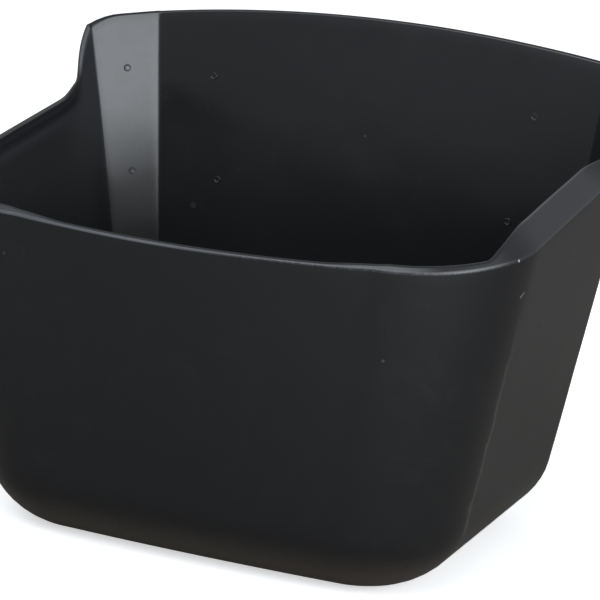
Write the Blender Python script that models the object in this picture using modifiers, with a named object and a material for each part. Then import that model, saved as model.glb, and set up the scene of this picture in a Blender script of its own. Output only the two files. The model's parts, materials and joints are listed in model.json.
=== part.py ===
"""Plastic feed tub: a moulded open shell with a raised back, and the plugs in its fixing holes.

Metres, +Z up, the open front towards -Y. The origin is the middle of the tub's length and width
at floor level. The walls are laid out from a line across the floor, then moved to that origin.
"""
import math

import bmesh
import bpy
from mathutils import Vector

# Walls: place at floor level, and outward lean per metre of height
SIDE_BASE = 0.2629
SIDE_LEAN = 0.171
BACK_BASE = 0.2071
BACK_LEAN = 0.0548
FRONT_BASE = 0.2304
FRONT_LEAN = 0.0974
FRONT_BOW = 0.0041
FRONT_BOW_GROWTH = 0.0406
WALL = 0.007

# Plan corners: radius at the front, 45 degree facets at the back
CORNER_RADIUS = 0.1064
CORNER_GROWTH = 0.0571
FACET_CUT = 0.0278
FACET_CUT_GROWTH = 0.0743
FACET_CUT_LEAST = 0.010
BASE_RADIUS = 0.0748

# Fold line below the rim, which climbs to the back
FOLD_HEIGHT = 0.4028
FOLD_CLIMB = 0.1785
FOLD_DIP = 0.0014

# Lip above the fold: full along the sides, cut low round the front
LIP_RISE = 0.0256
LIP_INSET = 0.0242
LIP_SHARE_FRONT = 0.18
LIP_SHARE_CORNER = 0.30
LIP_CUT_ANGLE = math.radians(55.0)
LIP_STRAIGHT_FROM = 0.162
LIP_STRAIGHT_TO = 0.057

# Raised back: its front edge is a steep step, its top a flat arch
STEP_FOOT = 0.0820
STEP_SLOPE = 1.77
STEP_FOOT_BLEND = 0.0143
STEP_TOP_BLEND = 0.0524
BACK_HEIGHT = 0.5533
ARCH_RADIUS = 1.943

# Edges
RIM_ROUND = 0.0026
FACET_EDGE_ROUND = 0.0022
FOLD_ROUND = 0.0012

# Fixing holes and their plugs
HOLE_RADIUS = 0.00325
UPPER_HOLE_HEIGHT = 0.4616
LOWER_HOLE_HEIGHT = 0.3376
UPPER_HOLE_OUT = 0.2032
LOWER_HOLE_OUT = 0.1854
PLUG_CLEARANCE = 0.0003
PLUG_SEAT_GAP = 0.0003
PLUG_HEAD_RADIUS = 0.00435
PLUG_HEAD_HEIGHT = 0.0010
PLUG_FACE_RADIUS = 0.0025
PLUG_HEAD_EDGE = 0.0004
PLUG_TAIL = 0.0025
PLUG_TAPER = 0.0006

# Mesh steps
BACK_STEPS = 6
FACET_STEPS = 6
SIDE_STEPS_BEHIND = 10
SIDE_STEPS_AHEAD = 8
CORNER_STEPS = 10
FRONT_STEPS = 5
FILLET_STEPS = 7
HOLE_SIDES = 24
SIDE_BEHIND = 0.24


def soft_max(a, b, width):
    overlap = max(width - abs(a - b), 0.0) / width
    return max(a, b) + overlap * overlap * width / 4


def soft_min(a, b, width):
    return -soft_max(-a, -b, width)


def smooth_step(value, start, end):
    share = min(max((value - start) / (end - start), 0.0), 1.0)
    return share * share * (3 - 2 * share)


def outline(station, height, inset=0.0):
    """Point of the half outline at a height. A station is a stretch and the share along it."""
    stretch, share = station
    side = SIDE_BASE + SIDE_LEAN * height - inset
    back = BACK_BASE + BACK_LEAN * height - inset
    front = -(FRONT_BASE + FRONT_LEAN * height) + inset
    cut = FACET_CUT + FACET_CUT_GROWTH * height - (2 - math.sqrt(2)) * inset
    cut = soft_max(cut, FACET_CUT_LEAST, 2 * FACET_CUT_LEAST)
    radius = CORNER_RADIUS + CORNER_GROWTH * height - inset
    if stretch == "back":
        return (side - cut) * share, back
    if stretch == "facet":
        return side - cut * (1 - share), back - cut * share
    if stretch == "side":
        return side, (back - cut) * (1 - share) + (front + radius) * share
    if stretch == "corner":
        angle = share * math.pi / 2
        return side - radius * (1 - math.cos(angle)), front + radius * (1 - math.sin(angle))
    bow = FRONT_BOW + FRONT_BOW_GROWTH * height
    return (side - radius) * (1 - share), front - bow * (1 - (1 - share) ** 2)


def height_where(station, rule, height):
    """Height at which the wall at a station meets a rule for the height over the plan."""
    for _ in range(12):
        height = rule(*outline(station, height))
    return height


def fold_height(station):
    dip = FOLD_DIP * (1 - (1 - station[1]) ** 2) if station[0] == "front" else 0.0
    return height_where(station, lambda x, y: FOLD_HEIGHT + FOLD_CLIMB * y - dip, FOLD_HEIGHT)


def lip_share(station):
    """How much of the lip's height is left: low round the front, full along the sides."""
    stretch, share = station
    if stretch == "front":
        near = smooth_step(1 - share, 0.7, 1.0)
        return LIP_SHARE_FRONT + (LIP_SHARE_CORNER - LIP_SHARE_FRONT) * near * 0.6
    if stretch == "corner":
        angle = (1 - share) * math.pi / 2
        low = LIP_SHARE_FRONT + (LIP_SHARE_CORNER - LIP_SHARE_FRONT) * (
            0.6 + 0.4 * smooth_step(angle, 0.0, 0.1))
        climb = max(angle - LIP_CUT_ANGLE, 0.0) / (math.pi / 2 - LIP_CUT_ANGLE)
        return low + (1 - low) * (1 - (1 - climb) ** 2.5)
    return 1.0


def rim_height(station):
    """Top of the wall: the lip's edge, the steep step, and the arch of the raised back."""
    rise = LIP_RISE * lip_share(station)
    lift = fold_height(station) + rise
    if station[0] in ("corner", "front"):
        return lift
    foot = BACK_BASE - STEP_FOOT
    foot_height = FOLD_HEIGHT + FOLD_CLIMB * foot + LIP_RISE

    def top(x, y):
        edge = FOLD_HEIGHT + FOLD_CLIMB * y + LIP_RISE
        step = foot_height + STEP_SLOPE * (y - foot)
        arch = BACK_HEIGHT - x * x / (2 * ARCH_RADIUS)
        return soft_min(soft_max(edge, step, STEP_FOOT_BLEND), arch, STEP_TOP_BLEND)

    return height_where(station, top, lift)


def rim_inset(station, height):
    """How far the rim leans in from the wall's own line; nothing at the raised back."""
    if station[0] in ("corner", "front"):
        return LIP_INSET * lip_share(station)
    y = outline(station, height)[1]
    return LIP_INSET * (1 - smooth_step(y, BACK_BASE - LIP_STRAIGHT_FROM, BACK_BASE - LIP_STRAIGHT_TO))


def stations():
    found = [("back", k / BACK_STEPS) for k in range(BACK_STEPS + 1)]
    found += [("facet", k / FACET_STEPS) for k in range(1, FACET_STEPS + 1)]
    found += [("side", SIDE_BEHIND * k / SIDE_STEPS_BEHIND) for k in range(1, SIDE_STEPS_BEHIND + 1)]
    found += [("side", SIDE_BEHIND + (1 - SIDE_BEHIND) * k / SIDE_STEPS_AHEAD)
              for k in range(1, SIDE_STEPS_AHEAD + 1)]
    found += [("corner", 1 - k / CORNER_STEPS) for k in range(CORNER_STEPS - 1, -1, -1)]
    found += [("front", k / FRONT_STEPS) for k in range(1, FRONT_STEPS + 1)]
    return found


def column(station):
    """Points of the outer surface at one station, from the floor's edge up to the rim."""
    points = []
    for k in range(FILLET_STEPS + 1):
        angle = math.pi / 2 * (1 - k / FILLET_STEPS)
        height = BASE_RADIUS * (1 - math.sin(angle))
        points.append((*outline(station, height, BASE_RADIUS * (1 - math.cos(angle))), height))
    fold = fold_height(station)
    middle = (BASE_RADIUS + fold) / 2
    points.append((*outline(station, middle), middle))
    points.append((*outline(station, fold), fold))
    rim = rim_height(station)
    points.append((*outline(station, rim, rim_inset(station, rim)), rim))
    return points


def middle_line():
    """Middle of the tub's length, between the top of the back and the bow of the front."""
    back = outline(("back", 0.0), BACK_HEIGHT)[1]
    front = outline(("front", 1.0), fold_height(("front", 1.0)))[1]
    return (back + front) / 2


def material(name, color, roughness):
    made = bpy.data.materials.new(name)
    made.use_nodes = True
    shader = made.node_tree.nodes["Principled BSDF"]
    shader.inputs["Base Color"].default_value = (*color, 1.0)
    shader.inputs["Roughness"].default_value = roughness
    shader.inputs["Metallic"].default_value = 0.0
    made.diffuse_color = (*color, 1.0)
    return made


def add_object(name, mesh, collection, finish=None):
    made = bpy.data.objects.new(name, mesh)
    collection.objects.link(made)
    if finish:
        mesh.materials.append(finish)
    return made


def shell_mesh():
    """Right half of the outer surface, open at the rim and at the middle plane."""
    shift = middle_line()
    form = bmesh.new()
    weight = form.edges.layers.float.new("bevel_weight_edge")
    grid = [[form.verts.new((x, y - shift, z)) for x, y, z in column(s)] for s in stations()]
    form.faces.new([points[0] for points in grid])
    for left, right in zip(grid, grid[1:]):
        for row in range(len(left) - 1):
            form.faces.new((left[row], left[row + 1], right[row + 1], right[row]))
    for left, right in zip(grid, grid[1:]):
        form.edges.get((left[-1], right[-1]))[weight] = 1.0
    for s, left, right in zip(stations(), grid, grid[1:]):
        if rim_inset(s, rim_height(s)) > LIP_INSET / 2:
            form.edges.get((left[-2], right[-2]))[weight] = FOLD_ROUND / RIM_ROUND
    for s, points in zip(stations(), grid):
        if s in (("back", 1.0), ("facet", 1.0)):
            for low, high in zip(points[FILLET_STEPS:], points[FILLET_STEPS + 1:]):
                form.edges.get((low, high))[weight] = FACET_EDGE_ROUND / RIM_ROUND
    mesh = bpy.data.meshes.new("tub_shell")
    form.to_mesh(mesh)
    form.free()
    mesh.shade_smooth()
    mesh.set_sharp_from_angle(angle=math.radians(30))
    return mesh


def hole_places():
    """Name, point on the inner face and inward direction of each fixing hole."""
    shift = middle_line()
    back_in = Vector((0.0, -1.0, BACK_LEAN)).normalized()
    lean = BACK_LEAN + SIDE_LEAN - FACET_CUT_GROWTH
    facet_in = Vector((-1.0, -1.0, lean)).normalized()
    places = []
    for level, height, out in (("upper", UPPER_HOLE_HEIGHT, UPPER_HOLE_OUT),
                               ("lower", LOWER_HOLE_HEIGHT, LOWER_HOLE_OUT)):
        x, y = outline(("facet", 0.5), height)
        for side, sign in (("left", -1), ("right", 1)):
            mirror = Vector((sign, 1, 1))
            on_back = Vector((out, outline(("back", 0.5), height)[1] - shift, height))
            places.append((f"back_{level}_{side}", on_back * mirror, back_in * mirror))
            on_facet = Vector((x, y - shift, height))
            places.append((f"corner_{level}_{side}", on_facet * mirror, facet_in * mirror))
    return [(name, point + inward * WALL, inward) for name, point, inward in places]


def turned(name, profile, steps, collection, finish):
    """A turned piece about its own Z, from a profile that runs down its outer side."""
    mesh = bpy.data.meshes.new(name)
    mesh.from_pydata([(r, 0.0, z) for r, z in profile], [(k, k + 1) for k in range(len(profile) - 1)], [])
    made = add_object(name, mesh, collection, finish)
    screw = made.modifiers.new("turn", "SCREW")
    screw.angle = 2 * math.pi
    screw.steps = steps
    screw.render_steps = steps
    screw.use_merge_vertices = True
    screw.merge_threshold = 0.00001
    screw.use_smooth_shade = False
    return made


def plug_profile():
    shank = HOLE_RADIUS - PLUG_CLEARANCE
    base = PLUG_SEAT_GAP
    top = base + PLUG_HEAD_HEIGHT
    tail = -(WALL + PLUG_TAIL)
    return [(0.0, top), (PLUG_FACE_RADIUS, top), (PLUG_HEAD_RADIUS - PLUG_HEAD_EDGE, top - PLUG_HEAD_EDGE),
            (PLUG_HEAD_RADIUS, base + PLUG_HEAD_EDGE / 2), (PLUG_HEAD_RADIUS, base), (shank, base),
            (shank, tail + PLUG_TAPER), (shank - PLUG_TAPER, tail), (0.0, tail)]


def main():
    for old in list(bpy.data.objects):
        bpy.data.objects.remove(old, do_unlink=True)
    parts = bpy.data.collections.new("feed_tub")
    cutters = bpy.data.collections.new("hole_cutters")
    bpy.context.scene.collection.children.link(parts)
    bpy.context.scene.collection.children.link(cutters)
    shell_finish = material("black_polyethylene", (0.012, 0.012, 0.013), 0.34)
    plug_finish = material("black_nylon", (0.015, 0.015, 0.016), 0.30)

    shell = add_object("tub_shell", shell_mesh(), parts, shell_finish)
    mirror = shell.modifiers.new("other half", "MIRROR")
    mirror.merge_threshold = 0.0001
    wall = shell.modifiers.new("wall", "SOLIDIFY")
    wall.thickness = WALL
    wall.offset = -1.0
    wall.use_even_offset = True
    wall.use_quality_normals = True
    edge = shell.modifiers.new("rounded edges", "BEVEL")
    edge.width = RIM_ROUND
    edge.segments = 2
    edge.limit_method = "WEIGHT"
    edge.use_clamp_overlap = True

    for name, point, inward in hole_places():
        turn = inward.to_track_quat("Z", "Y")
        bpy.ops.mesh.primitive_cylinder_add(vertices=HOLE_SIDES, radius=HOLE_RADIUS, depth=4 * WALL)
        cutter = bpy.context.object
        cutter.name = "hole_" + name
        for home in list(cutter.users_collection):
            home.objects.unlink(cutter)
        cutters.objects.link(cutter)
        cutter.location = point
        cutter.rotation_euler = turn.to_euler()
        cutter.hide_render = True
        cutter.display_type = "WIRE"
        plug = turned("plug_" + name, plug_profile(), HOLE_SIDES, parts, plug_finish)
        plug.location = point
        plug.rotation_euler = turn.to_euler()

    holes = shell.modifiers.new("fixing holes", "BOOLEAN")
    holes.operation = "DIFFERENCE"
    holes.solver = "EXACT"
    holes.operand_type = "COLLECTION"
    holes.collection = cutters


main()
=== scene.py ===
import json
import math

import bpy
from mathutils import Matrix, Vector, noise

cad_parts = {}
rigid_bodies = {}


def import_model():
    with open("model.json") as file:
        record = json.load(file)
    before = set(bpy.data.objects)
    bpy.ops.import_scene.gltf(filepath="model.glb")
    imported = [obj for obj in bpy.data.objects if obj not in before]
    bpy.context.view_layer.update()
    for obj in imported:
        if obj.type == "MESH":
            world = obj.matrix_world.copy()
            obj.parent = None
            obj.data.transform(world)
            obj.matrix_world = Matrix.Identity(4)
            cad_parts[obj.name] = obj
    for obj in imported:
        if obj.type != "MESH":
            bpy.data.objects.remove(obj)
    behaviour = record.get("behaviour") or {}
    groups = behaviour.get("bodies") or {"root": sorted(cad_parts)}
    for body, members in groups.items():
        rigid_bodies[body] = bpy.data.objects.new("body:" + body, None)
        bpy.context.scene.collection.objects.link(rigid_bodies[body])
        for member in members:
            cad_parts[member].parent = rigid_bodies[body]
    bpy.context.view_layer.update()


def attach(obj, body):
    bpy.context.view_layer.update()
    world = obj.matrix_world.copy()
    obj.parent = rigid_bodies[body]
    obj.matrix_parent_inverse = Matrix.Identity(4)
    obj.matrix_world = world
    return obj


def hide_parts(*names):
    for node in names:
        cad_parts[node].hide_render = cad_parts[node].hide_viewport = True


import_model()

# ---- Sizes of the tub, in metres, as its solids have them ----
SIDE_BASE, SIDE_LEAN = 0.2629, 0.171
BACK_BASE, BACK_LEAN = 0.2071, 0.0548
FRONT_BASE, FRONT_LEAN = 0.2304, 0.0974
FRONT_BOW, FRONT_BOW_GROWTH = 0.0041, 0.0406
CORNER_RADIUS, CORNER_GROWTH = 0.1064, 0.0571
FACET_CUT, FACET_CUT_GROWTH, FACET_CUT_LEAST = 0.0278, 0.0743, 0.010
BASE_RADIUS = 0.0748
WALL = 0.007
FOLD_HEIGHT, FOLD_CLIMB, FOLD_DIP = 0.4028, 0.1785, 0.0014
LIP_RISE, LIP_INSET = 0.0256, 0.0242
LIP_SHARE_CORNER = 0.30
LIP_CUT_ANGLE, LIP_CUT_POWER = math.radians(55.0), 2.5
LIP_STRAIGHT_FROM, LIP_STRAIGHT_TO = 0.162, 0.057
STEP_FOOT, STEP_SLOPE = 0.0820, 1.77
STEP_FOOT_BLEND, STEP_TOP_BLEND = 0.0143, 0.0524
BACK_HEIGHT, ARCH_RADIUS = 0.5533, 1.943
MIDDLE_LINE = -0.02275155

# ---- Fixing holes and their plugs ----
HOLE_RADIUS, HOLE_SIDES = 0.00325, 40
UPPER_HOLE_HEIGHT, LOWER_HOLE_HEIGHT = 0.4616, 0.3376
UPPER_HOLE_OUT, LOWER_HOLE_OUT = 0.2032, 0.1854
PLUG_SEAT_GAP, PLUG_TAIL, PLUG_SIDES = 0.0003, 0.0025, 48
PLUG_BARB, PLUG_SHANK, PLUG_COLLAR = 0.00292, 0.00276, 0.0029
PLUG_DISH, PLUG_RING = 0.00054, 0.00100

# ---- What the dressed shell adds to the solids: a lower front lip, more upright at the corner ----
LIP_SHARE_FRONT = 0.155
CORNER_LIP_UPRIGHT = 0.76
LIP_SWELL, LIP_SWELL_FROM, LIP_SWELL_ANGLE = 0.6, 0.7, 0.1
UPRIGHT_FRONT_FROM, UPRIGHT_CORNER_TO = 0.75, 0.35

# ---- The same at the steep step: a slight flare, and where the step counts as raised ----
STEP_FLARE = 0.0015
FLARE_RISE, FLARE_FALL = (0.120, 0.152), (0.195, 0.158)
STEP_FULL_RISE, STEP_SLOPES = 0.016, (0.35, 0.8)

# ---- Roundings that the moulding has all over, and the most of a lip that each may take ----
RIM_ROUND, RIM_MOST = 0.0030, 0.62
STEP_RIM_OUT, STEP_RIM_IN = 0.0016, 0.0052
FOLD_OUT_REACH, FOLD_IN_REACH = 0.0024, 0.0085
FOLD_OUT_MOST, FOLD_IN_MOST = 0.36, 0.34
FACET_OUT_ROUND, FACET_IN_ROUND = 0.0035, 0.0070

# ---- Waviness of the walls: pitch, height and shift of each wave, and where it sets in ----
WAVES = ((9.0, 0.00055, (0, 0, 0)), (21.0, 0.00022, (3, 7, 1)))
WAVY_FROM, WAVY_TO = 0.02, 0.12

# ---- Wear, painted highlights and painted light that the shell's points carry, from 0 to 1 ----
# The fold's rub is wear with a painted highlight along it: its share on the side, and where it
# rises round the corner
FOLD_RUB_AND_HIGHLIGHT_SIDE, FOLD_RUB_AND_HIGHLIGHT_FROM, FOLD_RUB_AND_HIGHLIGHT_TO = 0.55, 0.2, 0.9
# A painted highlight on the steep step's inner rounding: at its start, middle and end
STEP_HIGHLIGHT_START, STEP_HIGHLIGHT, STEP_HIGHLIGHT_END = 0.2, 0.9, 0.5
# Painted light that lifts the shaded inner lip, and a strip of the inside near each facet
RIM_PAINTED_LIGHT, FOLD_PAINTED_LIGHT, FACET_PAINTED_LIGHT = 0.3, 0.42, 0.36
FACET_LIGHT_ALONG, FACET_LIGHT_UP = (0.03, 0.165), (0.27, 0.46)

# ---- Steps of the fine surface, round the tub and up its wall ----
BACK_STEPS, EDGE_STEPS, FACET_STEPS, CORNER_STEPS, FRONT_STEPS = 20, 4, 9, 30, 18
SIDE_STEPS_BEHIND, SIDE_STEPS_AHEAD, SIDE_BEHIND = 26, 18, 0.30
FILLET_STEPS, WALL_STEPS, FOLD_STEPS, LIP_STEPS, RIM_STEPS = 11, 28, 4, 8, 5
HEIGHT_TRIES = 12
SHELL_SHARP, PLUG_SHARP = math.radians(40), math.radians(50)


# ---- The tub's form ----
def soft_max(a, b, width):
    overlap = max(width - abs(a - b), 0.0) / width
    return max(a, b) + overlap * overlap * width / 4


def soft_min(a, b, width):
    return -soft_max(-a, -b, width)


def smooth_step(value, start, end):
    share = min(max((value - start) / (end - start), 0.0), 1.0)
    return share * share * (3 - 2 * share)


def between(a, b, share):
    return a + (b - a) * share


def bent_corner(x, y, facing, rounding, share):
    """Point on the rounding of a 45 degree corner in plan.

    The first of its two walls faces that many radians from +Y.
    """
    reach = rounding * math.tan(math.pi / 8)
    middle_x = x - math.sin(facing) * rounding - math.cos(facing) * reach
    middle_y = y - math.cos(facing) * rounding + math.sin(facing) * reach
    facing += math.pi / 4 * share
    return middle_x + math.sin(facing) * rounding, middle_y + math.cos(facing) * rounding


def outline(station, height, inset=0.0, rounding=FACET_OUT_ROUND):
    """Point of the right half's outline at a height.

    A station is a stretch of the outline and the share along it.
    """
    stretch, share = station
    side = SIDE_BASE + SIDE_LEAN * height - inset
    back = BACK_BASE + BACK_LEAN * height - inset
    front = -(FRONT_BASE + FRONT_LEAN * height) + inset
    cut = FACET_CUT + FACET_CUT_GROWTH * height - (2 - math.sqrt(2)) * inset
    cut = soft_max(cut, FACET_CUT_LEAST, 2 * FACET_CUT_LEAST)
    radius = CORNER_RADIUS + CORNER_GROWTH * height - inset
    reach = rounding * math.tan(math.pi / 8)
    if stretch == "back":
        return (side - cut - reach) * share, back
    if stretch == "back edge":
        return bent_corner(side - cut, back, 0.0, rounding, share)
    if stretch == "facet":
        along = between(reach, cut * math.sqrt(2) - reach, share) / math.sqrt(2)
        return side - cut + along, back - along
    if stretch == "side edge":
        return bent_corner(side, back - cut, math.pi / 4, rounding, share)
    if stretch == "side":
        return side, between(back - cut - reach, front + radius, share)
    if stretch == "corner":
        angle = share * math.pi / 2
        return side - radius * (1 - math.cos(angle)), front + radius * (1 - math.sin(angle))
    bow = FRONT_BOW + FRONT_BOW_GROWTH * height
    return (side - radius) * (1 - share), front - bow * (1 - (1 - share) ** 2)


def lean_of(station):
    """How far the wall leans out for each metre up, across its own line."""
    stretch, share = station
    slope = SIDE_LEAN - FACET_CUT_GROWTH
    if stretch == "back":
        return BACK_LEAN
    if stretch == "back edge":
        facing = math.pi / 4 * share
        return slope * math.sin(facing) + BACK_LEAN * math.cos(facing)
    if stretch == "facet":
        return (slope + BACK_LEAN) / math.sqrt(2)
    if stretch == "side edge":
        facing = math.pi / 4 * (1 + share)
        return SIDE_LEAN * math.sin(facing) + (BACK_LEAN - FACET_CUT_GROWTH) * math.cos(facing)
    if stretch == "side":
        return SIDE_LEAN
    if stretch == "corner":
        angle = share * math.pi / 2
        return (CORNER_GROWTH + (SIDE_LEAN - CORNER_GROWTH) * math.cos(angle)
                + (FRONT_LEAN - CORNER_GROWTH) * math.sin(angle))
    return FRONT_LEAN + FRONT_BOW_GROWTH * (1 - (1 - share) ** 2)


def height_where(station, rule, height):
    """Height at which the wall at a station meets a rule for the height over the plan."""
    for _ in range(HEIGHT_TRIES):
        height = rule(*outline(station, height))
    return height


def fold_height(station):
    """Height of the fold between the wall and its lip."""
    dip = FOLD_DIP * (1 - (1 - station[1]) ** 2) if station[0] == "front" else 0.0
    return height_where(station, lambda x, y: FOLD_HEIGHT + FOLD_CLIMB * y - dip, FOLD_HEIGHT)


def lip_share(station):
    """How much of the lip's height is left: low round the front, full along the sides."""
    stretch, share = station
    if stretch == "front":
        near_corner = smooth_step(1 - share, LIP_SWELL_FROM, 1.0)
        return between(LIP_SHARE_FRONT, LIP_SHARE_CORNER, LIP_SWELL * near_corner)
    if stretch == "corner":
        angle = (1 - share) * math.pi / 2
        swell = LIP_SWELL + (1 - LIP_SWELL) * smooth_step(angle, 0.0, LIP_SWELL_ANGLE)
        low = between(LIP_SHARE_FRONT, LIP_SHARE_CORNER, swell)
        climb = max(angle - LIP_CUT_ANGLE, 0.0) / (math.pi / 2 - LIP_CUT_ANGLE)
        return between(low, 1.0, 1 - (1 - climb) ** LIP_CUT_POWER)
    return 1.0


def rim_height(station):
    """Top of the wall: the lip's edge, the steep step, and the arch of the raised back."""
    lift = fold_height(station) + LIP_RISE * lip_share(station)
    if station[0] in ("corner", "front"):
        return lift
    foot = BACK_BASE - STEP_FOOT
    foot_height = FOLD_HEIGHT + FOLD_CLIMB * foot + LIP_RISE

    def top(x, y):
        edge = FOLD_HEIGHT + FOLD_CLIMB * y + LIP_RISE
        step = foot_height + STEP_SLOPE * (y - foot)
        arch = BACK_HEIGHT - x * x / (2 * ARCH_RADIUS)
        return soft_min(soft_max(edge, step, STEP_FOOT_BLEND), arch, STEP_TOP_BLEND)

    return height_where(station, top, lift)


def rim_inset(station, height):
    """How far the rim leans in from the wall's own line.

    It leans in less round the front corner, not at all at the raised back, and flares a little
    outwards at the steep step.
    """
    stretch, share = station
    if stretch in ("front", "corner"):
        near = (smooth_step(1 - share, UPRIGHT_FRONT_FROM, 1.0) if stretch == "front"
                else smooth_step(share, 0.0, UPRIGHT_CORNER_TO))
        return LIP_INSET * lip_share(station) * between(1.0, CORNER_LIP_UPRIGHT, near)
    y = outline(station, height)[1]
    flare = smooth_step(y, *FLARE_RISE) * smooth_step(y, *FLARE_FALL)
    leans_in = 1 - smooth_step(y, BACK_BASE - LIP_STRAIGHT_FROM, BACK_BASE - LIP_STRAIGHT_TO)
    return LIP_INSET * leans_in - STEP_FLARE * flare


def half_stations():
    """Stations of the right half, from the middle of the back to the middle of the front."""
    found = []
    for stretch, start, end, steps in (
            ("back", 0.0, 1.0, BACK_STEPS), ("back edge", 0.0, 1.0, EDGE_STEPS),
            ("facet", 0.0, 1.0, FACET_STEPS), ("side edge", 0.0, 1.0, EDGE_STEPS),
            ("side", 0.0, SIDE_BEHIND, SIDE_STEPS_BEHIND),
            ("side", SIDE_BEHIND, 1.0, SIDE_STEPS_AHEAD),
            ("corner", 0.0, 1.0, CORNER_STEPS), ("front", 0.0, 1.0, FRONT_STEPS)):
        found += [(stretch, between(start, end, k / steps)) for k in range(steps)]
    return found + [("front", 1.0)]


# ---- The wall's section, as points (outward, up) ----
def bend(before, corner, after, reach_before, reach_after, steps):
    """Points of a round bend at a corner, from one reach before it to another past it."""
    back = (before - corner).normalized()
    on = (after - corner).normalized()
    weight = math.cos((math.pi - back.angle(on, math.pi)) / 2)
    start, end = corner + back * reach_before, corner + on * reach_after
    points = []
    for k in range(steps + 1):
        t = k / steps
        a, b, c = (1 - t) ** 2, 2 * weight * t * (1 - t), t * t
        points.append((start * a + corner * b + end * c) / (a + b + c))
    return points


def straight(start, end, steps):
    """Points strictly between two others."""
    return [start.lerp(end, k / steps) for k in range(1, steps)]


def outer_fillet(lean):
    """The rounding out of the floor and up into the wall's outside."""
    points = []
    for k in range(FILLET_STEPS + 1):
        angle = math.pi / 2 * (1 - k / FILLET_STEPS)
        height = BASE_RADIUS * (1 - math.sin(angle))
        points.append(Vector((lean * height - BASE_RADIUS * (1 - math.cos(angle)), height)))
    return points


def inner_fillet(outer):
    """The same rounding one wall's thickness in, from the wall down to the floor."""
    points = []
    for k in range(FILLET_STEPS - 1, -1, -1):
        along = (outer[k + 1] - outer[k - 1]).normalized() if k else Vector((1.0, 0.0))
        points.append(outer[k] + Vector((-along.y, along.x)) * WALL)
    return points


def section(station, rim_slope):
    """Section of the wall, with each point's wear and painted highlight, and its painted light.

    It runs out of the floor, up the outside, over the rim, down the inside and into the floor.
    """
    lean = lean_of(station)
    fold, rim = fold_height(station), rim_height(station)
    inset = rim_inset(station, rim)
    outer = outer_fillet(lean)
    foot = outer[-1]
    fold_at = Vector((lean * fold, fold))
    rim_at = Vector((lean * rim - inset, rim))
    up, lip = (fold_at - foot).normalized(), (rim_at - fold_at).normalized()
    into_wall, into_lip = Vector((-up.y, up.x)), Vector((-lip.y, lip.x))
    inner_rim = rim_at + into_lip * WALL
    inner_fold = fold_at + (into_wall + into_lip) * (WALL / (1 + into_wall.dot(into_lip)))
    inner_foot = foot + into_wall * WALL
    outer_lip, inner_lip = (rim_at - fold_at).length, (inner_rim - inner_fold).length

    raised = smooth_step(rim - fold - LIP_RISE, 0.0, STEP_FULL_RISE)
    raised *= smooth_step(rim_slope, *STEP_SLOPES)
    round_out = between(RIM_ROUND, STEP_RIM_OUT, raised)
    round_in = between(RIM_ROUND, STEP_RIM_IN, raised)
    steepness = math.sqrt(1 + rim_slope * rim_slope)
    down = min(round_out * steepness, RIM_MOST * outer_lip)
    inner_down = min(round_in * steepness, RIM_MOST * inner_lip)
    rim_bend = bend(fold_at, rim_at, inner_rim, down, round_out, RIM_STEPS)
    inner_rim_bend = bend(rim_at, inner_rim, inner_fold, round_in, inner_down, RIM_STEPS)
    reach_out = min(FOLD_OUT_REACH, FOLD_OUT_MOST * outer_lip)
    reach_in = min(FOLD_IN_REACH, FOLD_IN_MOST * inner_lip)
    fold_bend = bend(foot, fold_at, rim_at, reach_out, reach_out, FOLD_STEPS)
    inner_fold_bend = bend(inner_rim, inner_fold, inner_foot, reach_in, reach_in, FOLD_STEPS)

    outer_wall = straight(foot, fold_bend[0], WALL_STEPS)
    outer_lip_flat = straight(fold_bend[-1], rim_bend[0], LIP_STEPS)
    inner_lip_flat = straight(inner_rim_bend[-1], inner_fold_bend[0], LIP_STEPS)
    inner_wall = straight(inner_fold_bend[-1], inner_foot, WALL_STEPS)

    leaning = min(max(inset, 0.0) / LIP_INSET, 1.0)
    # The fold carries wear and a painted highlight along it
    step_highlight, near_facet, fold_rub_and_highlight = 0.0, 0.0, FOLD_RUB_AND_HIGHLIGHT_SIDE * leaning
    if station[0] == "front":
        fold_rub_and_highlight = 1.0
    elif station[0] == "corner":
        fold_rub_and_highlight = between(FOLD_RUB_AND_HIGHLIGHT_SIDE, 1.0,
                           smooth_step(station[1], FOLD_RUB_AND_HIGHLIGHT_FROM, FOLD_RUB_AND_HIGHLIGHT_TO))
    elif station[0] == "side":
        step_highlight = raised
        # Painted light on the inside near the facet
        near_facet = FACET_PAINTED_LIGHT * smooth_step(outline(station, rim)[1], *FACET_LIGHT_ALONG)
    path, rubbed_and_highlight, painted_light = [], [], []
    for points, rub_and_highlight, dust_and_painted_light, inside in (
            (outer + outer_wall + fold_bend[:1], 0.0, 0.0, 0.0),
            (fold_bend[1:-1], fold_rub_and_highlight, 0.0, 0.0),
            (fold_bend[-1:] + outer_lip_flat + rim_bend, 0.0, 0.0, 0.0),
            # The step's streak on the inner rounding is a painted highlight
            (inner_rim_bend[:2], STEP_HIGHLIGHT_START * step_highlight, RIM_PAINTED_LIGHT * leaning, 0.0),
            (inner_rim_bend[2:-1], STEP_HIGHLIGHT * step_highlight, RIM_PAINTED_LIGHT * leaning, 0.0),
            (inner_rim_bend[-1:], STEP_HIGHLIGHT_END * step_highlight, RIM_PAINTED_LIGHT * leaning, 1.0),
            # Painted light lifts the inner lip, which lies in shade
            (inner_lip_flat, 0.0, leaning, 1.0),
            (inner_fold_bend, 0.0, FOLD_PAINTED_LIGHT * leaning, 1.0),
            (inner_wall + [inner_foot] + inner_fillet(outer), 0.0, 0.0, 1.0)):
        path += points
        rubbed_and_highlight += [rub_and_highlight] * len(points)
        painted_light += [max(dust_and_painted_light, near_facet * inside * smooth_step(point.y, *FACET_LIGHT_UP))
                   for point in points]
    return path, rubbed_and_highlight, painted_light


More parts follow.
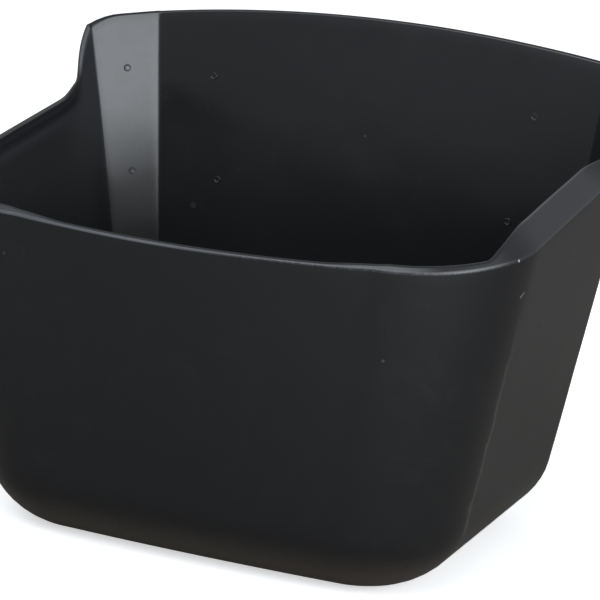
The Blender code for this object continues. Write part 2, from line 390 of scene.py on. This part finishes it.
def wall_column(station, rim_slope):
    """The section of one station as points of the tub, with their wear, painted highlights and
    painted light.
    """
    path, rubbed_and_highlight, painted_light = section(station, rim_slope)
    lean = lean_of(station)
    inner_from = len(path) / 2
    column = []
    for k, (out, up) in enumerate(path):
        share = smooth_step(k, inner_from - RIM_STEPS, inner_from + RIM_STEPS)
        rounding = between(FACET_OUT_ROUND, FACET_IN_ROUND, share)
        x, y = outline(station, up, lean * up - out, rounding)
        column.append(Vector((x, y - MIDDLE_LINE, up)))
    return column, rubbed_and_highlight, painted_light


def settle(point):
    """The slight waviness of a wall that cooled in its mould, the same through its thickness."""
    away = Vector((point.x, point.y, 0.0))
    away.normalize()
    wave = sum(noise.noise(point * pitch + Vector(shift)) * height
               for pitch, height, shift in WAVES)
    return point + away * (wave * smooth_step(point.z, WAVY_FROM, WAVY_TO))


# ---- Meshes ----
def add_object(name, data):
    made = bpy.data.objects.new(name, data)
    bpy.context.scene.collection.objects.link(made)
    return made


def tub_shell():
    """The whole shell: a column of points at each station, joined to the next one."""
    stations = half_stations()
    edge = []
    for station in stations:
        rim = rim_height(station)
        x, y = outline(station, rim, rim_inset(station, rim))
        edge.append(Vector((x, y, rim)))
    columns = []
    for k, station in enumerate(stations):
        step = edge[min(k + 1, len(edge) - 1)] - edge[max(k - 1, 0)]
        rim_slope = abs(step.z) / max(Vector((step.x, step.y)).length, 1e-6)
        columns.append(wall_column(station, rim_slope))
    columns += [([Vector((-p.x, p.y, p.z)) for p in column], rubbed_and_highlight, painted_light)
                for column, rubbed_and_highlight, painted_light in columns[-2:0:-1]]
    rows = len(columns[0][0])
    points = [settle(p) for column in columns for p in column[0]]
    faces = []
    for k in range(len(columns)):
        here, there = k * rows, (k + 1) % len(columns) * rows
        faces += [(here + r, here + r + 1, there + r + 1, there + r) for r in range(rows - 1)]
    faces.append([k * rows for k in range(len(columns))])
    faces.append([k * rows + rows - 1 for k in reversed(range(len(columns)))])
    mesh = bpy.data.meshes.new("moulded_shell")
    mesh.from_pydata(points, [], faces)
    for place, name in ((1, "rubbed_and_highlight"), (2, "painted_light")):
        values = [value for column in columns for value in column[place]]
        mesh.attributes.new(name, "FLOAT", "POINT").data.foreach_set("value", values)
    return add_object("moulded_shell", mesh)


def turned_mesh(name, profile, steps, place=Matrix()):
    """A turned form about its own Z.

    The profile's points are (radius, height), and it starts and ends on the axis.
    """
    points, rings, faces = [], [], []
    for radius, height in profile:
        count = steps if radius > 0 else 1
        rings.append(range(len(points), len(points) + count))
        for k in range(count):
            angle = 2 * math.pi * k / steps
            point = Vector((radius * math.cos(angle), radius * math.sin(angle), height))
            points.append(place @ point)
    for low, high in zip(rings, rings[1:]):
        for k in range(steps):
            after = (k + 1) % steps
            face = [low[k % len(low)], low[after % len(low)],
                    high[after % len(high)], high[k % len(high)]]
            faces.append(list(dict.fromkeys(face)))
    mesh = bpy.data.meshes.new(name)
    mesh.from_pydata(points, [], faces)
    return mesh


def hole_places():
    """Name and place of each fixing hole: its middle on the inner face, with +Z inward."""
    back_in = Vector((0.0, -1.0, BACK_LEAN)).normalized()
    facet_in = Vector((-1.0, -1.0, BACK_LEAN + SIDE_LEAN - FACET_CUT_GROWTH)).normalized()
    places = {}
    for level, height, out in (("upper", UPPER_HOLE_HEIGHT, UPPER_HOLE_OUT),
                               ("lower", LOWER_HOLE_HEIGHT, LOWER_HOLE_OUT)):
        on_back = Vector((out, outline(("back", 0.5), height)[1] - MIDDLE_LINE, height))
        x, y = outline(("facet", 0.5), height)
        on_facet = Vector((x, y - MIDDLE_LINE, height))
        for side, sign in (("left", -1), ("right", 1)):
            mirror = Vector((sign, 1, 1))
            for wall, point, inward in (("back", on_back, back_in),
                                        ("corner", on_facet, facet_in)):
                inward = inward * mirror
                turn = inward.to_track_quat("Z", "Y").to_matrix().to_4x4()
                middle = point * mirror + inward * WALL
                places[f"{wall}_{level}_{side}"] = Matrix.Translation(middle) @ turn
    return places


def drill(shell, places):
    """Cuts the fixing holes through the fine shell."""
    cutters = bpy.data.collections.new("hole_cutters")
    reach = 2.5 * WALL
    profile = [(0.0, -reach), (HOLE_RADIUS, -reach), (HOLE_RADIUS, reach), (0.0, reach)]
    for name, place in places.items():
        mesh = turned_mesh("hole_" + name, profile, HOLE_SIDES, place)
        cutters.objects.link(bpy.data.objects.new("hole_" + name, mesh))
    bpy.context.scene.collection.children.link(cutters)
    cut = shell.modifiers.new("fixing holes", "BOOLEAN")
    cut.operation = "DIFFERENCE"
    cut.operand_type = "COLLECTION"
    cut.collection = cutters
    cut.solver = "EXACT"
    drilled = shell.evaluated_get(bpy.context.evaluated_depsgraph_get())
    done = bpy.data.meshes.new_from_object(drilled)
    shell.modifiers.clear()
    shell.data = done
    for cutter in list(cutters.objects):
        bpy.data.objects.remove(cutter, do_unlink=True)
    bpy.data.collections.remove(cutters)


def plug_profile():
    """A push-in plug: bevelled tail, barb, round shank, collar and a ringed, dished head."""
    base = PLUG_SEAT_GAP
    tail = -(WALL + PLUG_TAIL)
    return [(0.0, tail), (0.0021, tail), (0.00243, tail + 0.0003),
            (PLUG_BARB, tail + 0.0016), (PLUG_BARB, tail + 0.0022),
            (PLUG_SHANK, tail + 0.0026), (PLUG_SHANK, -0.0006),
            (PLUG_COLLAR, -0.0002), (PLUG_COLLAR, base),
            (0.00418, base), (0.00431, base + 0.0001), (0.00435, base + 0.0003),
            (0.00428, base + 0.00062), (0.00405, base + 0.00088),
            (0.0037, base + PLUG_RING), (0.0034, base + PLUG_RING),
            (0.00312, base + 0.00086), (0.00292, base + 0.00066), (0.00272, base + 0.00056),
            (0.0024, base + PLUG_DISH), (0.0021, base + PLUG_DISH), (0.0, base + PLUG_DISH)]


# ---- Colours ----
CLEAN_BLACK = (0.0088, 0.0091, 0.0098, 1.0)
# Brown of dust, which also paints a warm bounce of light from the ground at the foot
DUST_AND_BOUNCE_BROWN = (0.112, 0.089, 0.067, 1.0)
# Grey of the worn fold, which also paints its highlight
RUBBED_AND_HIGHLIGHT_GREY = (0.100, 0.102, 0.108, 1.0)
# Grey of a painted highlight along the front corner's edge
CORNER_HIGHLIGHT_GREY = (0.100, 0.094, 0.084, 1.0)
# Grey of the painted light on the shaded inner lip and near the facets
PAINTED_LIGHT_GREY = (0.036, 0.037, 0.041, 1.0)
NYLON_BLACK, NYLON_DUST = (0.009, 0.009, 0.010, 1.0), (0.026, 0.024, 0.021, 1.0)
# Floor colours: the warm one is darker, a painted shade under and behind the tub
SHADED_WARM_GROUND, COOL_GROUND = (0.104, 0.088, 0.072, 1.0), (0.152, 0.153, 0.153, 1.0)
# A painted pool of light on the floor
LIT_POOL_GROUND = (0.32, 0.315, 0.305, 1.0)
PAPER, WHITE, ROOM = (0.8, 0.8, 0.8, 1.0), (1, 1, 1, 1), (0.35, 0.37, 0.40, 1.0)

# ---- Grains of the shell: scale, detail and roughness ----
CLOUD, MOTTLE, SPECKLE = (7.0, 3.0, 0.5), (46.0, 4.0, 0.6), (420.0, 2.0, 0.6)
SCRAPE, SCRAPE_SCALE, SCRAPE_TURN = (90.0, 3.0, 0.6), (1.0, 1.0, 0.06), (0.5, 0.3, 0.2)
EDGE_CRUMBLE, PEEL, WAVE = (260.0, 3.0, 0.7), (330.0, 2.0, 0.5), (60.0, 1.0, 0.4)

# ---- A painted highlight along the front corner's edge: the line y + climb * z + shift = 0, and its waviness ----
EDGE_CLIMB, EDGE_SHIFT, EDGE_WANDER = 0.066, 0.104, 0.028

# ---- Small marks on the shell: colour, strength, radius and place ----
MARKS = (
    ((0.40, 0.40, 0.41, 1.0), 0.8, 0.0009, (0.3185, -0.1586, 0.3699)),
    ((0.14, 0.14, 0.14, 1.0), 0.8, 0.0012, (0.3176, -0.1353, 0.3297)),
    ((0.14, 0.14, 0.14, 1.0), 0.8, 0.0010, (0.3183, -0.1329, 0.3315)),
    ((0.14, 0.14, 0.14, 1.0), 0.7, 0.0009, (0.3189, -0.1305, 0.3332)),
    ((0.05, 0.05, 0.05, 1.0), 0.7, 0.0010, (-0.0010, 0.2457, 0.4145)),
    ((0.06, 0.06, 0.06, 1.0), 0.8, 0.0010, (0.2121, -0.2305, 0.2648)),
    ((0.05, 0.05, 0.05, 1.0), 0.8, 0.0010, (-0.2106, -0.2368, 0.3117)),
    ((0.030, 0.031, 0.034, 1.0), 0.6, 0.0024, (-0.2145, 0.2393, 0.3026)),
    ((0.030, 0.032, 0.036, 1.0), 0.6, 0.0022, (-0.3338, 0.1704, 0.4513)),
    ((0.040, 0.043, 0.048, 1.0), 0.7, 0.0025, (-0.3237, 0.1082, 0.4273)),
)


# ---- Nodes ----
class Socket:
    """An output socket. An expression on one that carries a number adds its Math nodes."""

    def __init__(self, nodes, socket):
        self.nodes = nodes
        self.socket = socket

    def math(self, operation, first, second):
        return self.nodes.node("ShaderNodeMath", {"operation": operation}, {0: first, 1: second})

    def __add__(self, other):
        return self.math("ADD", self, other)

    def __radd__(self, other):
        return self.math("ADD", other, self)

    def __sub__(self, other):
        return self.math("SUBTRACT", self, other)

    def __rsub__(self, other):
        return self.math("SUBTRACT", other, self)

    def __mul__(self, other):
        return self.math("MULTIPLY", self, other)

    def __rmul__(self, other):
        return self.math("MULTIPLY", other, self)

    def rise(self, start, end):
        """0 at start, 1 at end, and smooth between them. Either may be the higher."""
        low, high, first, last = (start, end, 0.0, 1.0) if start < end else (end, start, 1.0, 0.0)
        return self.nodes.node("ShaderNodeMapRange", {"interpolation_type": "SMOOTHSTEP"},
                               {"Value": self, "From Min": low, "From Max": high,
                                "To Min": first, "To Max": last})


class Nodes:
    """The nodes of a material, a lamp or the room."""

    def __init__(self, owner):
        owner.use_nodes = True
        self.tree = owner.node_tree

    def node(self, kind, settings, inputs, output=0):
        """Adds a node: its settings first, then its sockets' values and links.

        Gives back one output, or a tuple of them where output is a tuple.
        """
        made = self.tree.nodes.new(kind)
        for key, value in settings.items():
            setattr(made, key, value)
        for key, value in inputs.items():
            if isinstance(value, Socket):
                self.tree.links.new(value.socket, made.inputs[key])
            else:
                made.inputs[key].default_value = value
        if isinstance(output, tuple):
            return tuple(Socket(self, made.outputs[key]) for key in output)
        return Socket(self, made.outputs[output])

    def show(self, whole):
        """Sends a shader to the output."""
        kinds = ("OUTPUT_MATERIAL", "OUTPUT_WORLD", "OUTPUT_LIGHT")
        end = next(n for n in self.tree.nodes if n.type in kinds)
        self.tree.links.new(whole.socket, end.inputs["Surface"])

    def rays(self):
        """Whether a ray comes from the camera, from a reflection, or through something clear."""
        return self.node("ShaderNodeLightPath", {}, {},
                         ("Is Camera Ray", "Is Glossy Ray", "Is Transmission Ray"))


class Finish(Nodes):
    """A material made of nodes. What is the same all over is set on the shader's own sockets."""

    def __init__(self, name, **constants):
        self.material = bpy.data.materials.new(name)
        super().__init__(self.material)
        self.shader = self.tree.nodes["Principled BSDF"]
        for key, value in constants.items():
            self.shader.inputs[key.replace("_", " ")].default_value = value

    def vary(self, **sockets):
        """Feeds the shader's sockets with what varies over the surface."""
        for key, value in sockets.items():
            self.tree.links.new(value.socket, self.shader.inputs[key.replace("_", " ")])

    def roughen(self, height):
        """A relief, in millimetres."""
        self.vary(Normal=self.node("ShaderNodeBump", {}, {"Strength": 1.0, "Distance": 0.001,
                                                          "Height": height}))

    def where(self):
        return self.node("ShaderNodeTexCoord", {}, {}, "Object")

    def painted(self, name):
        """A value that the mesh carries at its points."""
        return self.node("ShaderNodeAttribute", {"attribute_name": name}, {}, "Fac")

    def grain(self, where, scale, detail=2.0, roughness=0.5):
        return self.node("ShaderNodeTexNoise", {}, {"Vector": where, "Scale": scale,
                                                    "Detail": detail, "Roughness": roughness})

    def stretched(self, where, scale, turn):
        return self.node("ShaderNodeMapping", {"vector_type": "TEXTURE"},
                         {"Vector": where, "Rotation": turn, "Scale": scale})

    def blend(self, first, second, share):
        """A colour between two, by a share that may vary."""
        return self.node("ShaderNodeMix", {"data_type": "RGBA"}, {0: share, 6: first, 7: second}, 2)

    def spot(self, where, middle, radius, soft):
        """1 within a radius of a point, falling to 0 over a soft edge."""
        away = self.node("ShaderNodeVectorMath", {"operation": "DISTANCE"},
                         {0: where, 1: middle}, "Value")
        return away.rise(radius + soft, radius)


# ---- Finishes ----
def black_polyethylene():
    """Rotomoulded polyethylene: near black and satin, with orange peel, scuffs, wear and dust, and
    painted light: a warm bounce at the foot, highlights along the rim's fold, the step's inner edge
    and the front corner, and a lift on the shaded inner lip.
    """
    finish = Finish("satin_polyethylene", Metallic=0.0, IOR=1.5)
    where = finish.where()
    x, y, z = finish.node("ShaderNodeSeparateXYZ", {}, {0: where}, ("X", "Y", "Z"))

    cloud = finish.grain(where, *CLOUD)
    mottle = finish.grain(where, *MOTTLE)
    speckle = finish.grain(where, *SPECKLE)
    scrape = finish.grain(finish.stretched(where, SCRAPE_SCALE, SCRAPE_TURN), *SCRAPE)
    scuff = scrape.rise(0.60, 0.72) * cloud.rise(0.42, 0.62)

    # Browner towards the foot, inside and out: dust, with a painted warm bounce of light from the
    # ground
    foot = z.rise(0.060, -0.004) * (1.1 + mottle * 0.4)
    patches = mottle.rise(0.45, 0.8) * cloud.rise(0.30, 0.70) * 0.07
    dust_and_painted_light = foot + patches + speckle.rise(0.66, 0.80) * 0.22
    colour = finish.blend(CLEAN_BLACK, DUST_AND_BOUNCE_BROWN, (dust_and_painted_light + scuff * 0.1) * 0.5)

    # The fold's grey is wear and a painted highlight, stronger on the left
    crumble = finish.grain(where, *EDGE_CRUMBLE).rise(0.30, 0.66)
    wear_and_highlight = between(0.06 + crumble * 0.26, 1.0 - crumble * 0.15, x.rise(0.09, -0.06))
    rubbed_and_highlight = finish.painted("rubbed_and_highlight") * wear_and_highlight
    colour = finish.blend(colour, RUBBED_AND_HIGHLIGHT_GREY, rubbed_and_highlight * 0.9)

    # A painted highlight line where the front corner's rounding meets the flat side, on the right
    # and low down
    past_edge = y + z * EDGE_CLIMB + EDGE_SHIFT + (mottle - 0.5) * EDGE_WANDER
    edge = past_edge.rise(-0.002, 0.001) * past_edge.rise(0.012, 0.002) * x.rise(0.20, 0.24)
    colour = finish.blend(colour, CORNER_HIGHLIGHT_GREY, edge * z.rise(0.34, 0.20) * 0.30)
    # Painted light: the inner lip and the inside near each facet are lightened where they lie in
    # shade
    colour = finish.blend(colour, PAINTED_LIGHT_GREY, finish.painted("painted_light") * (0.85 + mottle * 0.3))
    for tint, strength, radius, place in MARKS:
        mark = finish.spot(where, place, radius, radius) * strength
        colour = finish.blend(colour, tint, mark)
    finish.vary(Base_Color=colour)

    finish.vary(Roughness=0.24 + (mottle - 0.5) * 0.05 + dust_and_painted_light * 0.10 + scuff * 0.04
                + rubbed_and_highlight * 0.15)
    finish.roughen(finish.grain(where, *PEEL) * 0.009 + finish.grain(where, *WAVE) * 0.030)
    return finish.material


def black_nylon():
    """Moulded nylon of the plugs: near black, a touch glossier, with a fine grain."""
    finish = Finish("fine_nylon", Metallic=0.0, IOR=1.53)
    where = finish.where()
    grain = finish.grain(where, 900.0, 3.0, 0.6)
    cloud = finish.grain(where, 160.0)
    finish.vary(Base_Color=finish.blend(NYLON_BLACK, NYLON_DUST, cloud.rise(0.45, 0.75) * 0.6))
    finish.vary(Roughness=0.24 + (grain - 0.5) * 0.12 + cloud * 0.06)
    finish.roughen(grain * 0.012)
    return finish.material


def pale_ground():
    """The floor: grey where it lights the tub, with painted shade under and behind the tub and a
    painted pool of light at the front right, and white with a soft shadow to the camera.
    """
    finish = Finish("pale_ground", Roughness=0.9, IOR=1.3)
    where = finish.where()
    along = finish.node("ShaderNodeSeparateXYZ", {}, {0: where}, "Y")
    # Darker and warmer under and behind the tub: painted shade
    base = finish.blend(SHADED_WARM_GROUND, COOL_GROUND, along.rise(-0.1, -0.8))
    # A painted pool of light at the front right
    light_pool = finish.spot(where, (1.45, -1.65, 0.0), 0.6, 1.3)
    cloud = finish.grain(where, 3.0)
    finish.vary(Base_Color=finish.blend(base, LIT_POOL_GROUND, light_pool * 0.9 + cloud * 0.06))
    far = 1.0 - finish.spot(where, (0.0, 0.0, 0.0), 0.6, 0.9)
    glow = finish.node("ShaderNodeEmission", {}, {"Color": WHITE, "Strength": 0.56 + far * 0.3})
    paper = finish.node("ShaderNodeBsdfDiffuse", {}, {"Color": PAPER})
    sheet = finish.node("ShaderNodeAddShader", {}, {0: glow, 1: paper})
    shown, glossy, through = finish.rays()
    ground = Socket(finish, finish.shader.outputs[0])
    finish.show(finish.node("ShaderNodeMixShader", {}, {0: shown + glossy * 0.05 + through,
                                                        1: ground, 2: sheet}))
    return finish.material


# ---- Studio ----
# The photograph's view, from a fit to the tub's outlines, edges and marks. The turns are in
# degrees. The reach and the middle are in pixels, and the scale is in millimetres for each.
VIEW_YAW, VIEW_PITCH, VIEW_ROLL = 21.355, 11.79, 4.719
VIEW_REACH, VIEW_MIDDLE_X, VIEW_MIDDLE_Y, VIEW_SCALE = 2316.0, 282.3485, 301.5241, 1.1127
VIEW_AIM_HEIGHT, PHOTO_WIDTH, SENSOR_WIDTH = 250.0, 600, 36.0

# Name, azimuth, elevation, distance, width, height, radiance and tint.
LAMPS = (
    ("right_front_wide", 60, 18, 3.4, 6.0, 2.6, 4.7, (0.95, 1.0, 1.05, 1.0)),
    ("right_front_low", 60, 6, 3.0, 2.2, 1.0, 4.1, (0.95, 1.0, 1.05, 1.0)),
    ("overhead_front", 0, 40, 3.2, 3.2, 2.4, 4.2, (0.95, 1.0, 1.06, 1.0)),
    ("behind", 180, 32, 3.2, 3.0, 2.0, 0.4, WHITE),
    ("overhead_left", -50, 45, 3.2, 3.0, 2.6, 1.3, (0.93, 1.0, 1.08, 1.0)),
)
LAMP_AIM = Vector((0.0, 0.0, 0.25))
FLOOR_REACH = 9.0


def camera():
    yaw, pitch, roll = (math.radians(a) for a in (VIEW_YAW, VIEW_PITCH, VIEW_ROLL))
    shift_x, shift_y = VIEW_MIDDLE_X - PHOTO_WIDTH / 2, VIEW_MIDDLE_Y - PHOTO_WIDTH / 2
    ahead = Vector((-math.sin(yaw) * math.cos(pitch), math.cos(yaw) * math.cos(pitch),
                    -math.sin(pitch)))
    level = Vector((math.cos(yaw), math.sin(yaw), 0.0))
    upright = level.cross(ahead)
    right = level * math.cos(roll) + upright * math.sin(roll)
    up = upright * math.cos(roll) - level * math.sin(roll)
    offset = (-ahead * VIEW_REACH - right * shift_x + up * shift_y) * VIEW_SCALE
    place = (Vector((0.0, 0.0, VIEW_AIM_HEIGHT)) + offset) / 1000
    place -= Vector((0.0, MIDDLE_LINE, 0.0))
    made = bpy.data.objects.new("camera", bpy.data.cameras.new("camera"))
    made.data.sensor_fit = "HORIZONTAL"
    made.data.sensor_width = SENSOR_WIDTH
    made.data.lens = VIEW_REACH / PHOTO_WIDTH * SENSOR_WIDTH
    turn = Matrix((right, up, -ahead)).transposed().to_4x4()
    made.matrix_world = Matrix.Translation(place) @ turn
    bpy.context.scene.collection.objects.link(made)
    bpy.context.scene.camera = made


def softbox(name, azimuth, elevation, distance, width, height, radiance, tint):
    """A soft lamp, brightest at its middle. Azimuth 0 is in front of the tub, 90 to its right."""
    light = bpy.data.lights.new(name, "AREA")
    light.shape = "RECTANGLE"
    light.size = width
    light.size_y = height
    light.energy = radiance * math.pi * width * height
    nodes = Nodes(light)
    across = nodes.node("ShaderNodeNewGeometry", {}, {}, "Parametric")
    u, v = nodes.node("ShaderNodeSeparateXYZ", {}, {0: across}, ("X", "Y"))
    swell = u * (1 - u) * v * (1 - v) * 16
    nodes.show(nodes.node("ShaderNodeEmission", {}, {"Color": tint, "Strength": swell}))
    made = add_object(name, light)
    a, e = math.radians(azimuth), math.radians(elevation)
    toward = Vector((math.sin(a) * math.cos(e), -math.cos(a) * math.cos(e), math.sin(e)))
    made.location = LAMP_AIM + toward * distance
    made.rotation_euler = toward.to_track_quat("Z", "Y").to_euler()
    made.visible_camera = False


def surroundings():
    """An even grey room for light and reflections, white where the camera looks past the floor."""
    world = bpy.data.worlds.new("studio")
    bpy.context.scene.world = world
    nodes = Nodes(world)
    room = nodes.node("ShaderNodeBackground", {}, {"Color": ROOM})
    white = nodes.node("ShaderNodeBackground", {}, {"Color": WHITE})
    shown, glossy, through = nodes.rays()
    nodes.show(nodes.node("ShaderNodeMixShader", {}, {0: shown + glossy * 0.05 + through,
                                                      1: room, 2: white}))


def floor(finish):
    mesh = bpy.data.meshes.new("floor")
    corners = [(-1, -1), (1, -1), (1, 1), (-1, 1)]
    mesh.from_pydata([(x * FLOOR_REACH, y * FLOOR_REACH, 0) for x, y in corners], [],
                     [(0, 1, 2, 3)])
    made = add_object("floor", mesh)
    mesh.materials.append(finish)


# ---- The tub, dressed ----
def dress(mesh, finish, sharp):
    """Gives a mesh its finish, and smooth shading up to an angle between faces."""
    mesh.materials.clear()
    mesh.materials.append(finish)
    mesh.shade_smooth()
    mesh.set_sharp_from_angle(angle=sharp)


polyethylene, nylon = black_polyethylene(), black_nylon()
places = hole_places()

shell = tub_shell()
drill(shell, places)
dress(shell.data, polyethylene, SHELL_SHARP)
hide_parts("tub_shell")
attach(shell, "tub")

for name, place in places.items():
    mesh = turned_mesh("ringed_plug_" + name, plug_profile(), PLUG_SIDES)
    plug = add_object("ringed_plug_" + name, mesh)
    plug.matrix_world = place
    dress(mesh, nylon, PLUG_SHARP)
    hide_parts("plug_" + name)
    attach(plug, "plug_" + name)

floor(pale_ground())
surroundings()
for lamp in LAMPS:
    softbox(*lamp)
camera()

bpy.context.scene.view_settings.view_transform = "Standard"
